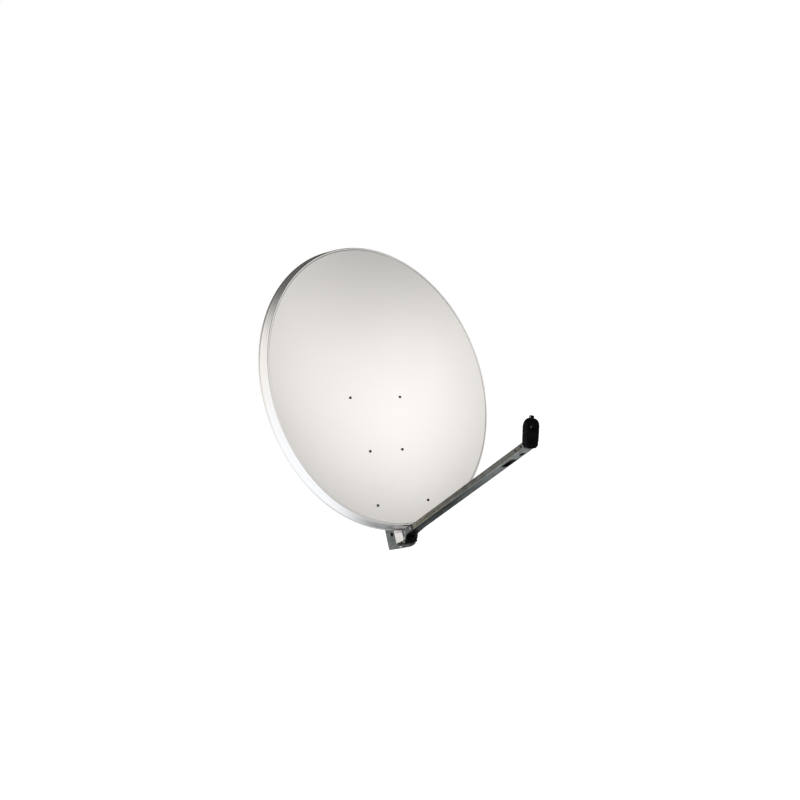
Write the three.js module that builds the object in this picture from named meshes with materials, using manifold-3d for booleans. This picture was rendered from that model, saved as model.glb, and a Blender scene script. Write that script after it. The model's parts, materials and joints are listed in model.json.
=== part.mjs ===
// Offset satellite dish of the one metre class: a pressed reflector on a steel spine, with an elevation
// bracket and a mast clamp behind it, and a folding feed arm that carries the LNB holder.
// Units are millimetres. +Z runs up the mast, and the dish faces -Y. The origin is on the mast's axis,
// midway between the upper and the lower clamp.
import * as THREE from 'three';
import { mergeVertices } from 'three/addons/utils/BufferGeometryUtils.js';
import Module from 'manifold-3d';

const wasm = await Module();
wasm.setup();

// ---------- driving dimensions ----------
const { degToRad } = THREE.MathUtils;
const GAP = 0.3;                               // air left between pieces that touch
const REACH = 45;                              // cutting tools run this far past the middle

// Reflector: a piece of a paraboloid, seen along its own axis as a circle
const RIM_HEIGHT = 1050;                       // long axis of the front edge
const OFFSET_ANGLE = degToRad(21.63);          // between the rim plane's normal and the paraboloid's axis
const FOCAL_LENGTH = 650;
const SHEET = 1;
const HALF_HEIGHT = RIM_HEIGHT / 2;
const HALF_WIDTH = HALF_HEIGHT * Math.cos(OFFSET_ANGLE);
const LEAN_BACK = degToRad(15.9);              // of the rim plane, at rest
const BOWL_RINGS = 7;
const BOWL_SEGMENTS = 64;

// Steel frame behind the reflector
const SPINE_LEAN = degToRad(4);                // of the spine against the rim plane
const SPINE_FOOT = { y: 66.5, z: -595 };       // the spine's lower front edge, from the rim's centre
const SPINE_WIDTH = 57;
const SPINE_DEPTH = 51;
const SPINE_LENGTH = 600;
const STEEL = 2.5;
const BOLT_ROWS = [                            // half spacing, and height behind the rim plane
  { name: 'upper', halfSpan: 116, rimZ: -4, centreHalf: 40 },
  { name: 'middle', halfSpan: 74.7, rimZ: -215.5, centreHalf: 34 },
  { name: 'lower', halfSpan: 116, rimZ: -439.2, centreHalf: 40 },
];
const STRAP_HALF_HEIGHT = 19;
const STRAP_THICKNESS = 3;
const FOOT_HALF_LENGTH = 17;                   // of the strap's ends that lie on the bowl

// Elevation bracket: places along the spine (up) and behind its front face (back)
const PIVOT_UP = 455;
const PIVOT_BACK = 88;
const SLOT_RADIUS = 50;
const ELEVATION_SWING = degToRad(22.5);
const PLATE_THICKNESS = 3;
const M8 = { r: 4, hole: 4.4, across: 13, head: 5.5, nut: 6.5 };
const M6 = { r: 3, hole: 3.4, across: 10, head: 3.2, nut: 5 };
const M4 = { r: 2, hole: 2.3, across: 7, head: 2.8, nut: 3.2 };

// Mast clamp
const PIVOT_TO_MAST = 96;
const PIVOT_HEIGHT = 22;                       // above the middle of the clamp
const BASE_PLATE = { halfWidth: 64, halfHeight: 76, thickness: 4, behindPivot: 50 };
const MAST_RADIUS = 25;                        // the mast that the jaws are set to
const CLAMP_HEIGHT = 50;                       // of the upper jaw pair above the origin
const CLAMP_HALF_SPAN = 48;                    // of the clamp bolts
const FRONT_JAW_HALF_HEIGHT = 15;
const REAR_JAW_HALF_HEIGHT = 11.5;
const JAW_THICKNESS = 3;
const CLAMP_BOLT_END = 92;

// Feed arm: a rectangular tube, its centreline below the rim's lowest point
const ARM_RISE = degToRad(15.13);              // of the arm against the rim plane's normal
const ARM_DROP = 26;                           // from the rim's lowest point down to the centreline
const ARM_WIDTH = 50;
const ARM_HEIGHT = 20;
const ARM_WALL = 1.5;
const ARM_FRONT = 656;                         // ends of the tube, ahead of the rim's lowest point
const ARM_REAR = -28;
const SHOE_WALL = 2;
const SHOE_HALF_WIDTH = ARM_WIDTH / 2 + 1 + SHOE_WALL;
const FOLD_PIVOT = { y: 44, z: -592 };         // from the rim's centre

// LNB holder
const RING_CENTRE = { y: -665, z: -327.5 };    // from the rim's centre
const RING_TILT = degToRad(19.3);              // of the ring's axis, up towards the middle of the bowl
const RING_BORE = 20;
const RING_OUTER = 26.5;
const RING_LENGTH = 20;
const RING_TO_FOOT = 66;                       // from the ring's centre to the holder's lower end

// ---------- materials ----------
function material(color, roughness, metalness) {
  return new THREE.MeshStandardMaterial({ color, roughness, metalness });
}

const looks = {
  enamel: () => material(0xe4e2de, 0.45, 0),
  galvanised: () => material(0x9a9d9c, 0.5, 0.85),
  zincPlated: () => material(0xb9bbb8, 0.35, 0.9),
  darkSteel: () => material(0x4a4a48, 0.45, 0.8),
  blackPlastic: () => material(0x0d0d0e, 0.55, 0),
};

// ---------- solid helpers ----------
function toSolid(geometry) {
  const plain = geometry.index ? geometry.toNonIndexed() : geometry.clone();
  for (const name of Object.keys(plain.attributes)) {
    if (name !== 'position') plain.deleteAttribute(name);
  }
  const merged = mergeVertices(plain, 1e-4);
  return new wasm.Manifold(new wasm.Mesh({
    numProp: 3,
    vertProperties: new Float32Array(merged.attributes.position.array),
    triVerts: new Uint32Array(merged.index.array),
  }));
}

function toGeometry(solid) {
  const mesh = solid.getMesh();
  const geometry = new THREE.BufferGeometry();
  geometry.setAttribute('position', new THREE.BufferAttribute(mesh.vertProperties, 3));
  geometry.setIndex(new THREE.BufferAttribute(mesh.triVerts, 1));
  geometry.computeVertexNormals();
  return geometry;
}

function join(first, ...others) {
  return toGeometry(others.reduce((sum, other) => sum.add(toSolid(other)), toSolid(first)));
}

function cut(body, ...tools) {
  return toGeometry(tools.reduce((rest, tool) => rest.subtract(toSolid(tool)), toSolid(body)));
}

function toVectors(points) {
  return points.map(([x, y]) => new THREE.Vector2(x, y));
}

// A closed outline, with any holes in it given the same way
function outline(points, ...holes) {
  const shape = new THREE.Shape(toVectors(points));
  for (const hole of holes) shape.holes.push(new THREE.Path(toVectors(hole)));
  return shape;
}

function extrude(shape, depth) {
  return new THREE.ExtrudeGeometry(shape, { depth, bevelEnabled: false });
}

// An outline drawn in (y, z), as thick as x1 - x0
function sidePlate(shape, x0, x1) {
  const turn = new THREE.Matrix4().makeBasis(
    new THREE.Vector3(0, 1, 0), new THREE.Vector3(0, 0, 1), new THREE.Vector3(1, 0, 0));
  return extrude(shape, x1 - x0).applyMatrix4(turn).translate(x0, 0, 0);
}

// An outline drawn in (x, z), as thick as y1 - y0
function facePlate(shape, y0, y1) {
  return extrude(shape, y1 - y0).rotateX(Math.PI / 2).translate(0, y1, 0);
}

function box(x0, x1, y0, y1, z0, z1) {
  const block = new THREE.BoxGeometry(x1 - x0, y1 - y0, z1 - z0);
  return block.translate((x0 + x1) / 2, (y0 + y1) / 2, (z0 + z1) / 2);
}

// A round bar along X, Y or Z between two places
function bar(axis, from, to, radius, at, sides = 16) {
  const rod = new THREE.CylinderGeometry(radius, radius, to - from, sides).translate(0, (from + to) / 2, 0);
  if (axis === 'x') rod.rotateZ(-Math.PI / 2);
  if (axis === 'z') rod.rotateX(Math.PI / 2);
  return rod.translate(at.x ?? 0, at.y ?? 0, at.z ?? 0);
}

// The space of a hole right across the steelwork along X
function crossHole(radius, at, sides) {
  return bar('x', -REACH, REACH, radius, at, sides);
}

// Arc of points about a centre, both ends included
function arc(cx, cy, r, fromDeg, toDeg, steps) {
  const points = [];
  for (let i = 0; i <= steps; i += 1) {
    const angle = degToRad(fromDeg + (toDeg - fromDeg) * i / steps);
    points.push([cx + r * Math.cos(angle), cy + r * Math.sin(angle)]);
  }
  return points;
}

// A full circle of points, its last point left open
function circle(cx, cy, r, sides) {
  return arc(cx, cy, r, 0, 360 - 360 / sides, sides - 1);
}

// Bolts lie along +Y: the head's underside is at 0, and the head stands out towards -Y
function hexBolt(size, length) {
  const headRadius = size.across / Math.sqrt(3);
  const head = new THREE.CylinderGeometry(headRadius, headRadius, size.head, 6);
  const shank = new THREE.CylinderGeometry(size.r, size.r, length + 1, 12);
  return join(head.translate(0, -size.head / 2, 0), shank.translate(0, (length - 1) / 2, 0));
}

function domedBolt(size, headRadius, length) {
  const dome = [[1, 0.4], [0.75, 0.85], [0.3, 1], [0, 1]];
  const profile = [
    [0, length], [size.r, length], [size.r, 0], [headRadius, 0],
    ...dome.map(([share, rise]) => [headRadius * share, -size.head * rise])];
  return new THREE.LatheGeometry(toVectors(profile).reverse(), 12);
}

function hexNut(size) {
  const radius = size.across / Math.sqrt(3);
  const blank = new THREE.CylinderGeometry(radius, radius, size.nut, 6).translate(0, size.nut / 2, 0);
  const bore = new THREE.CylinderGeometry(size.hole, size.hole, size.nut + 2, 16);
  return cut(blank, bore.translate(0, size.nut / 2, 0));
}

// ---------- scene graph ----------
const dish = new THREE.Group();

// The rim's frame has its origin at the middle of the rim plane, with +Z up in that plane
const spineUp = new THREE.Vector2(Math.sin(SPINE_LEAN), Math.cos(SPINE_LEAN));
const spineBack = new THREE.Vector2(Math.cos(SPINE_LEAN), -Math.sin(SPINE_LEAN));
const pivotInRim = new THREE.Vector2(SPINE_FOOT.y, SPINE_FOOT.z)
  .addScaledVector(spineUp, PIVOT_UP)
  .addScaledVector(spineBack, PIVOT_BACK);
const rimFrame = new THREE.Group();
rimFrame.rotation.x = -LEAN_BACK;
rimFrame.position.set(
  0,
  -PIVOT_TO_MAST - (pivotInRim.x * Math.cos(LEAN_BACK) + pivotInRim.y * Math.sin(LEAN_BACK)),
  PIVOT_HEIGHT - (-pivotInRim.x * Math.sin(LEAN_BACK) + pivotInRim.y * Math.cos(LEAN_BACK)));
dish.add(rimFrame);

// The spine's frame: +Z up along the channel and +Y towards its open back
const spineFrame = new THREE.Group();
spineFrame.rotation.x = -SPINE_LEAN;
spineFrame.position.set(0, SPINE_FOOT.y, SPINE_FOOT.z);
rimFrame.add(spineFrame);

// The arm's frame: -Y is ahead along the tube, and its origin is on the centreline below the rim
const armFrame = new THREE.Group();
armFrame.rotation.x = -ARM_RISE;
armFrame.position.set(
  0, -ARM_DROP * Math.sin(ARM_RISE), -HALF_HEIGHT - ARM_DROP * Math.cos(ARM_RISE));
rimFrame.add(armFrame);

// The LNB ring's frame: +Y is the ring's axis, towards the bowl
const ringFrame = new THREE.Group();
ringFrame.rotation.x = RING_TILT;
ringFrame.position.set(0, RING_CENTRE.y, RING_CENTRE.z);
rimFrame.add(ringFrame);

function add(parent, name, geometry, look) {
  const mesh = new THREE.Mesh(geometry, look());
  mesh.name = name;
  parent.add(mesh);
  return mesh;
}

// Places a piece that lies along +Y so that it starts at a point and runs along a direction
function aim(mesh, point, direction) {
  mesh.position.copy(point);
  mesh.quaternion.setFromUnitVectors(new THREE.Vector3(0, 1, 0), direction.clone().normalize());
  return mesh;
}

// A place given in the rim's frame, measured in the arm's frame
function rimToArm(y, z) {
  const dy = y - armFrame.position.y;
  const dz = z - armFrame.position.z;
  return {
    y: dy * Math.cos(ARM_RISE) - dz * Math.sin(ARM_RISE),
    z: dy * Math.sin(ARM_RISE) + dz * Math.cos(ARM_RISE),
  };
}

// ---------- reflector ----------
function bowlDepth(x, rimZ) {
  return (HALF_WIDTH ** 2 - x ** 2 - (rimZ * Math.cos(OFFSET_ANGLE)) ** 2) / (4 * FOCAL_LENGTH);
}

// Front surface behind a place in the rim plane, reached along the paraboloid's axis
function bowlPoint(x, rimZ) {
  const depth = bowlDepth(x, rimZ);
  return new THREE.Vector3(x, depth * Math.cos(OFFSET_ANGLE), rimZ - depth * Math.sin(OFFSET_ANGLE));
}

// The same surface found from its real height
function bowlAt(x, z) {
  let rimZ = z;
  for (let i = 0; i < 8; i += 1) rimZ = z + bowlDepth(x, rimZ) * Math.sin(OFFSET_ANGLE);
  return bowlPoint(x, rimZ);
}

// Direction square to the bowl, out of its back
function bowlBack(x, rimZ) {
  const across = bowlPoint(x + 1, rimZ).sub(bowlPoint(x - 1, rimZ));
  const up = bowlPoint(x, rimZ + 1).sub(bowlPoint(x, rimZ - 1));
  return up.cross(across).normalize();
}

// Section of the rim, as (outwards, back) from the bowl's edge: rolled edge, grooved skirt and rear lip
const RIM_OUTSIDE = [[0, 0], [2, -1.4], [5, -1.6], [8, 0.6], [9.2, 5], [9.4, 12], [8.4, 15], [9.6, 18],
  [11.5, 33], [14.5, 38], [18, 40.5], [18, 42.5]];
const RIM_INSIDE = [[16.9, 41.8], [13.5, 39.1], [10.3, 33.3], [8.4, 18.4], [7.1, 15], [8.2, 12], [7.8, 4.8],
  [4.8, -0.1]];
const BACK_EDGE = 0.998;                       // where the bowl's back meets the rim, as a share of the front's

function reflectorGeometry() {
  const rings = [];
  const addRing = (pointAt) => {
    const ring = [];
    for (let j = 0; j < BOWL_SEGMENTS; j += 1) ring.push(pointAt(2 * Math.PI * j / BOWL_SEGMENTS));
    rings.push(ring);
  };
  const bowlRing = (share, back) => addRing((angle) => {
    const point = bowlPoint(
      share * HALF_WIDTH * Math.cos(angle), share * HALF_HEIGHT * Math.sin(angle));
    return point.add(new THREE.Vector3(0, back, 0));
  });
  const rimRing = ([out, back]) => addRing((angle) => {
    const across = Math.cos(angle);
    const up = Math.sin(angle);
    const outwards = new THREE.Vector2(across / HALF_WIDTH, up / HALF_HEIGHT).normalize();
    return new THREE.Vector3(
      HALF_WIDTH * across + out * outwards.x, back, HALF_HEIGHT * up + out * outwards.y);
  });
  for (let i = 1; i < BOWL_RINGS; i += 1) bowlRing(i / BOWL_RINGS, 0);
  RIM_OUTSIDE.forEach(rimRing);
  RIM_INSIDE.forEach(rimRing);
  bowlRing(BACK_EDGE, SHEET);
  for (let i = BOWL_RINGS - 1; i > 0; i -= 1) bowlRing(i / BOWL_RINGS, SHEET);

  const positions = [];
  const push = (...points) => points.forEach((point) => positions.push(point.x, point.y, point.z));
  const frontCentre = bowlPoint(0, 0);
  const backCentre = bowlPoint(0, 0).add(new THREE.Vector3(0, SHEET, 0));
  for (let j = 0; j < BOWL_SEGMENTS; j += 1) {
    const next = (j + 1) % BOWL_SEGMENTS;
    push(frontCentre, rings[0][j], rings[0][next]);
    for (let i = 0; i + 1 < rings.length; i += 1) {
      push(rings[i][j], rings[i + 1][j], rings[i + 1][next]);
      push(rings[i][j], rings[i + 1][next], rings[i][next]);
    }
    push(backCentre, rings[rings.length - 1][next], rings[rings.length - 1][j]);
  }
  const geometry = new THREE.BufferGeometry();
  geometry.setAttribute('position', new THREE.Float32BufferAttribute(positions, 3));
  return geometry;
}

const reflectorBolts = BOLT_ROWS.flatMap((row) => [['left', -1], ['right', 1]].map(([side, sign]) => {
  const x = sign * row.halfSpan;
  return {
    name: `${row.name}_${side}`,
    seat: bowlPoint(x, row.rimZ),
    back: bowlBack(x, row.rimZ),
    row,
  };
}));

function boltHole(bolt) {
  const hole = new THREE.CylinderGeometry(M6.hole, M6.hole, 60, 12);
  const turn = new THREE.Quaternion().setFromUnitVectors(new THREE.Vector3(0, 1, 0), bolt.back);
  return hole.applyQuaternion(turn).translate(bolt.seat.x, bolt.seat.y, bolt.seat.z);
}

add(rimFrame, 'reflector', cut(reflectorGeometry(), ...reflectorBolts.map(boltHole)), looks.enamel);

// ---------- crossbars: straps whose feet lie on the bowl and whose middles lie on the spine ----------
function strapGeometry(row) {
  const middle = bowlPoint(row.halfSpan, row.rimZ).z;
  const footInner = row.halfSpan - FOOT_HALF_LENGTH;
  const footOuter = row.halfSpan + FOOT_HALF_LENGTH;
  const spineFront = (z) => SPINE_FOOT.y + (z - SPINE_FOOT.z) * Math.tan(SPINE_LEAN);
  const edge = (z) => {
    const onBowl = (x) => bowlAt(x, z).y + SHEET + 2 * GAP;
    const onSpine = spineFront(z) - GAP - STRAP_THICKNESS;
    const right = [
      [row.centreHalf, onSpine], [footInner, onBowl(footInner)], [footOuter, onBowl(footOuter)]];
    const left = right.map(([x, y]) => [-x, y]).reverse();
    return [...left, ...right].map(([x, y]) => new THREE.Vector3(x, y, z));
  };
  const low = edge(middle - STRAP_HALF_HEIGHT);
  const high = edge(middle + STRAP_HALF_HEIGHT);
  const thick = new THREE.Vector3(0, STRAP_THICKNESS, 0);
  const sections = low.map((point, i) => [
    point, high[i], high[i].clone().add(thick), point.clone().add(thick)]);
  const positions = [];
  const quad = (a, b, c, d) => [a, b, c, a, c, d].forEach((p) => positions.push(p.x, p.y, p.z));
  for (let i = 0; i + 1 < sections.length; i += 1) {
    for (let k = 0; k < 4; k += 1) {
      const n = (k + 1) % 4;
      quad(sections[i][k], sections[i + 1][k], sections[i + 1][n], sections[i][n]);
    }
  }
  const first = sections[0];
  const last = sections[sections.length - 1];
  quad(first[0], first[1], first[2], first[3]);
  quad(last[3], last[2], last[1], last[0]);
  const geometry = new THREE.BufferGeometry();
  geometry.setAttribute('position', new THREE.Float32BufferAttribute(positions, 3));
  return geometry;
}

for (const row of BOLT_ROWS) {
  const holes = reflectorBolts.filter((bolt) => bolt.row === row).map(boltHole);
  add(rimFrame, `${row.name}_crossbar`, cut(strapGeometry(row), ...holes), looks.galvanised);
}

const BOLT_HEAD_RADIUS = 5;
const REFLECTOR_BOLT_LENGTH = 20;
const HEAD_GAP = 0.9;                          // clears the bowl's facets under the flat of the head
const NUT_SEAT = SHEET + STRAP_THICKNESS + 2.6;
for (const bolt of reflectorBolts) {
  const head = aim(
    add(rimFrame, `reflector_bolt_${bolt.name}`,
      domedBolt(M6, BOLT_HEAD_RADIUS, REFLECTOR_BOLT_LENGTH), looks.darkSteel),
    bolt.seat, bolt.back);
  head.position.addScaledVector(bolt.back, -HEAD_GAP);
  const nut = aim(
    add(rimFrame, `reflector_nut_${bolt.name}`, hexNut(M6), looks.zincPlated), bolt.seat, bolt.back);
  nut.position.addScaledVector(bolt.back, NUT_SEAT);
}

// ---------- spine ----------
const HALF_SPINE = SPINE_WIDTH / 2;
const channel = outline([
  [-HALF_SPINE, 0], [HALF_SPINE, 0], [HALF_SPINE, SPINE_DEPTH], [HALF_SPINE - STEEL, SPINE_DEPTH],
  [HALF_SPINE - STEEL, STEEL], [STEEL - HALF_SPINE, STEEL], [STEEL - HALF_SPINE, SPINE_DEPTH],
  [-HALF_SPINE, SPINE_DEPTH]]);
const PLATE_BOLTS = [{ y: 28, z: PIVOT_UP + 32 }, { y: 28, z: PIVOT_UP - 48 }];
const CHEEK_HOLE = { y: 15, z: 45, r: 5.5 };
add(spineFrame, 'spine_channel', cut(
  extrude(channel, SPINE_LENGTH),
  bar('x', -REACH, 0, CHEEK_HOLE.r, CHEEK_HOLE),
  ...PLATE_BOLTS.map((at) => crossHole(M8.hole, at)),
), looks.galvanised);

// ---------- elevation plates, either side of the spine ----------
const plateInside = HALF_SPINE + GAP;
const plateOutside = plateInside + PLATE_THICKNESS;
const restLean = LEAN_BACK + SPINE_LEAN;
const slotMiddle = -90 + THREE.MathUtils.radToDeg(restLean);
const SLOT_END = 5.2;                          // degrees past the swing, for half the lock bolt
const slotHalf = THREE.MathUtils.radToDeg(ELEVATION_SWING) + SLOT_END;
const PLATE_MARGIN = 9;                        // of steel outside the slot's middle line
const PLATE_TAB = { front: 6, back: 46, below: 72, above: 52, eye: 17 };

function elevationPlate() {
  const y = PIVOT_BACK;
  const z = PIVOT_UP;
  const slotFrom = slotMiddle - slotHalf;
  const slotTo = slotMiddle + slotHalf;
  const slotHalfWidth = M8.hole + 0.2;
  return outline(
    [
      [PLATE_TAB.front, z - PLATE_TAB.below], [PLATE_TAB.back, z - PLATE_TAB.below],
      ...arc(y, z, SLOT_RADIUS + PLATE_MARGIN, slotFrom - 7, slotTo + 6, 10),
      ...arc(y, z, PLATE_TAB.eye, -30, 95, 7),
      [PLATE_TAB.back, z + PLATE_TAB.above], [PLATE_TAB.front, z + PLATE_TAB.above],
    ],
    [
      ...arc(y, z, SLOT_RADIUS + slotHalfWidth, slotFrom, slotTo, 14),
      ...arc(y, z, SLOT_RADIUS - slotHalfWidth, slotTo, slotFrom, 14),
    ],
    ...[{ y, z }, ...PLATE_BOLTS].map((at) => circle(at.y, at.z, M8.hole, 16)));
}

add(spineFrame, 'elevation_plate_left',
  sidePlate(elevationPlate(), -plateOutside, -plateInside), looks.galvanised);
add(spineFrame, 'elevation_plate_right',
  sidePlate(elevationPlate(), plateInside, plateOutside), looks.galvanised);

// A bolt across the bracket with its nut, from -X to +X
function crossBolt(parent, boltName, nutName, size, halfWidth, at, tail = 5) {
  const alongX = new THREE.Vector3(1, 0, 0);
  const start = new THREE.Vector3(-halfWidth - GAP, at.y, at.z);
  const end = new THREE.Vector3(halfWidth + GAP, at.y, at.z);
  const length = 2 * halfWidth + 2 * GAP + size.nut + tail;
  aim(add(parent, boltName, hexBolt(size, length), looks.zincPlated), start, alongX);
  aim(add(parent, nutName, hexNut(size), looks.zincPlated), end, alongX);
}

PLATE_BOLTS.forEach((at, i) => {
  const place = ['upper', 'lower'][i];
  crossBolt(spineFrame, `plate_bolt_${place}`, `plate_nut_${place}`, M8, plateOutside, at);
});

// ---------- arm tray, round the spine's lower end ----------
const TRAY = { front: 60, rear: 112, bottom: -605, halfInner: HALF_SPINE + GAP, lugRadius: 10 };
const trayHalf = TRAY.halfInner + STEEL;
function trayGeometry() {
  const flange = outline([
    [TRAY.rear, TRAY.bottom], [TRAY.rear, TRAY.bottom + 7], [TRAY.front + 4, TRAY.bottom + 17],
    ...arc(FOLD_PIVOT.y, FOLD_PIVOT.z, TRAY.lugRadius, 100, 250, 8), [TRAY.front - 2, TRAY.bottom]]);
  const left = sidePlate(flange, -trayHalf, -TRAY.halfInner);
  const right = sidePlate(flange, TRAY.halfInner, trayHalf);
  const floor = box(-trayHalf + 1, trayHalf - 1, TRAY.front, TRAY.rear, TRAY.bottom, TRAY.bottom + STEEL);
  return cut(join(left, floor, right), crossHole(M8.hole, FOLD_PIVOT));
}
add(rimFrame, 'arm_tray', trayGeometry(), looks.galvanised);
crossBolt(rimFrame, 'fold_bolt', 'fold_nut', M8, trayHalf, FOLD_PIVOT, 3);

// ---------- feed arm ----------
const pivotInArm = rimToArm(FOLD_PIVOT.y, FOLD_PIVOT.z);
const RIVETS = [{ y: 14, z: 0 }, { y: -20, z: 0 }];
const RIVET_RADIUS = 3;
const SIDE_HOLES = [-646.5, -620];
const SIDE_HOLE_RADIUS = 2.5;
const CABLE_OPENING = { x0: -13, x1: 19, y0: -577, y1: -523 };
const ROUND_HOLE = { x: 5, y: -612, r: 7.5 };
const HOLDER_PLUG = { length: 60, corner: 2 };

function roundedBox(halfWidth, halfHeight, radius, steps) {
  return [
    ...arc(halfWidth - radius, halfHeight - radius, radius, 0, 90, steps),
    ...arc(radius - halfWidth, halfHeight - radius, radius, 90, 180, steps),
    ...arc(radius - halfWidth, radius - halfHeight, radius, 180, 270, steps),
    ...arc(halfWidth - radius, radius - halfHeight, radius, 270, 360, steps)];
}

function armTube() {
  const section = outline(
    roundedBox(ARM_WIDTH / 2, ARM_HEIGHT / 2, 3, 3),
    roundedBox(ARM_WIDTH / 2 - ARM_WALL, ARM_HEIGHT / 2 - ARM_WALL, 3 - ARM_WALL, 2));
  const tube = facePlate(section, -ARM_FRONT, -ARM_REAR);
  const below = -ARM_HEIGHT / 2 - 2;
  return cut(tube,
    ...SIDE_HOLES.map((y) => crossHole(SIDE_HOLE_RADIUS, { y }, 10)),
    ...RIVETS.map((at) => crossHole(RIVET_RADIUS + GAP, at, 12)),
    box(CABLE_OPENING.x0, CABLE_OPENING.x1, CABLE_OPENING.y0, CABLE_OPENING.y1, below, 0),
    bar('z', below, 0, ROUND_HOLE.r, ROUND_HOLE, 20));
}
add(armFrame, 'arm_tube', armTube(), looks.galvanised);

// Shoe: a saddle over the tube's base end, with cheeks that reach down to the fold bolt
const LATCH_PIN = { y: 27, z: -16.5, r: 2.5 };
const SHOE = { front: -30, rear: 30, top: 12, roof: 1.5, lugRadius: 9 };
function armShoe() {
  const cheek = outline([
    [SHOE.front, SHOE.top], [SHOE.front, -4], [SHOE.front + 6, -8.5], [-4, -9.5], [13, -11], [24, -24],
    ...arc(pivotInArm.y, pivotInArm.z, SHOE.lugRadius, 250, 430, 9),
    [37, -21], [33, -15], [SHOE.rear, SHOE.top]]);
  const left = sidePlate(cheek, -SHOE_HALF_WIDTH, SHOE_WALL - SHOE_HALF_WIDTH);
  const right = sidePlate(cheek, SHOE_HALF_WIDTH - SHOE_WALL, SHOE_HALF_WIDTH);
  const roof = box(
    1 - SHOE_HALF_WIDTH, SHOE_HALF_WIDTH - 1, SHOE.front, SHOE.rear, SHOE.top - SHOE.roof, SHOE.top);
  return cut(join(left, roof, right),
    crossHole(M8.hole, pivotInArm),
    crossHole(LATCH_PIN.r + GAP, LATCH_PIN, 12),
    ...RIVETS.map((at) => crossHole(RIVET_RADIUS + GAP, at, 12)));
}
add(armFrame, 'arm_shoe', armShoe(), looks.galvanised);

// A pin across the shoe with a thin flat head at each end
const PIN_HEAD = { thickness: 0.4, margin: 1.75 };
function crossPin(radius, at) {
  const seat = SHOE_HALF_WIDTH + GAP;
  const end = seat + PIN_HEAD.thickness;
  const headRadius = radius + PIN_HEAD.margin;
  return join(
    bar('x', -seat - PIN_HEAD.thickness / 2, seat + PIN_HEAD.thickness / 2, radius, at, 12),
    bar('x', -end, -seat, headRadius, at, 12),
    bar('x', seat, end, headRadius, at, 12));
}
add(armFrame, 'latch_pin', crossPin(LATCH_PIN.r, LATCH_PIN), looks.zincPlated);
['rear', 'front'].forEach((place, i) => {
  add(armFrame, `shoe_rivet_${place}`, crossPin(RIVET_RADIUS, RIVETS[i]), looks.zincPlated);
});

// ---------- latch: a lever between the shoe's cheeks ----------
const LATCH_HALF_WIDTH = 21;
function latchLever() {
  const corner = (y, z) => {
    const at = rimToArm(y, z);
    return [at.y, at.z];
  };
  const shape = outline([
    corner(-11, -562), corner(6, -570), corner(11, -574), corner(5, -588), corner(8, -593),
    corner(22, -592.5), corner(27, -586), corner(26, -576), corner(18, -568.5), corner(4, -564.2)]);
  return cut(
    sidePlate(shape, -LATCH_HALF_WIDTH, LATCH_HALF_WIDTH),
    crossHole(LATCH_PIN.r + GAP, LATCH_PIN, 12));
}
add(armFrame, 'latch_lever', latchLever(), looks.blackPlastic);

// ---------- LNB holder ----------
// In the ring's frame the body is a tall plate with a round top, split at the top between two ears
const EAR = { halfWidth: 5, halfDepth: 6, top: 35, screwZ: 30.4 };
const SPLIT = 1.6;
const HALF_RING = RING_LENGTH / 2;
const FOOT = [[0.5, 22], [2, 18], [3, 7], [12.5, 0]]; // its corner: in from the side, up from the lower end
const END_BLOCK = { halfWidth: 24.5, halfHeight: 9.8, length: 14 };

// Geometry drawn in the arm's frame, moved into the ring's frame
function armToRing(geometry) {
  ringFrame.updateMatrix();
  armFrame.updateMatrix();
  return geometry.applyMatrix4(ringFrame.matrix.clone().invert().multiply(armFrame.matrix));
}

function holderPlug() {
  const halfWidth = ARM_WIDTH / 2 - ARM_WALL - GAP;
  const halfHeight = ARM_HEIGHT / 2 - ARM_WALL - GAP;
  const section = outline(roundedBox(halfWidth, halfHeight, HOLDER_PLUG.corner, 2));
  return facePlate(section, -ARM_FRONT - 5, -ARM_FRONT + HOLDER_PLUG.length);
}

function lnbHolder() {
  const corner = FOOT.map(([inwards, up]) => [RING_OUTER - inwards, up - RING_TO_FOOT]);
  const body = facePlate(outline([
    ...arc(0, 0, RING_OUTER, 0, 180, 20),
    ...corner.map(([x, z]) => [-x, z]),
    ...corner.toReversed()]), -HALF_RING, HALF_RING);
  const crown = EAR.halfWidth - 1.5;
  const ears = facePlate(outline([
    [-EAR.halfWidth, 20], [EAR.halfWidth, 20], [EAR.halfWidth, 33],
    ...arc(0, EAR.top - crown, crown, 30, 150, 5), [-EAR.halfWidth, 33]]), -EAR.halfDepth, EAR.halfDepth);
  const tubeEnd = -ARM_FRONT - GAP;
  const block = box(
    -END_BLOCK.halfWidth, END_BLOCK.halfWidth, tubeEnd - END_BLOCK.length, tubeEnd,
    -END_BLOCK.halfHeight, END_BLOCK.halfHeight);
  const tubeSpace = cut(box(-REACH, REACH, tubeEnd, tubeEnd + 2 * REACH, -30, 30), holderPlug());
  return cut(
    join(body, ears, armToRing(block), armToRing(holderPlug())),
    armToRing(tubeSpace),
    bar('y', -REACH, REACH, RING_BORE, {}, 32),
    box(-SPLIT / 2, SPLIT / 2, -20, 20, 10, 50),
    crossHole(M4.hole, { z: EAR.screwZ }, 12));
}
add(ringFrame, 'lnb_holder', lnbHolder(), looks.blackPlastic);
crossBolt(ringFrame, 'lnb_clamp_screw', 'lnb_clamp_nut', M4, EAR.halfWidth, { y: 0, z: EAR.screwZ }, 1.5);

// Reducer: two half shells that bring the ring down to the neck of an LNB
const NECK_RADIUS = 11.6;
function reducerHalf(sign) {
  const half = outline([
    ...arc(0, 0, RING_BORE - GAP - 0.1, 1.2, 178.8, 16), ...arc(0, 0, NECK_RADIUS, 178, 2, 12)]);
  const shell = facePlate(half, -HALF_RING, HALF_RING);
  return shell.rotateY(sign * Math.PI / 2);
}
add(ringFrame, 'lnb_reducer_left', reducerHalf(-1), looks.blackPlastic);
add(ringFrame, 'lnb_reducer_right', reducerHalf(1), looks.blackPlastic);

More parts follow.
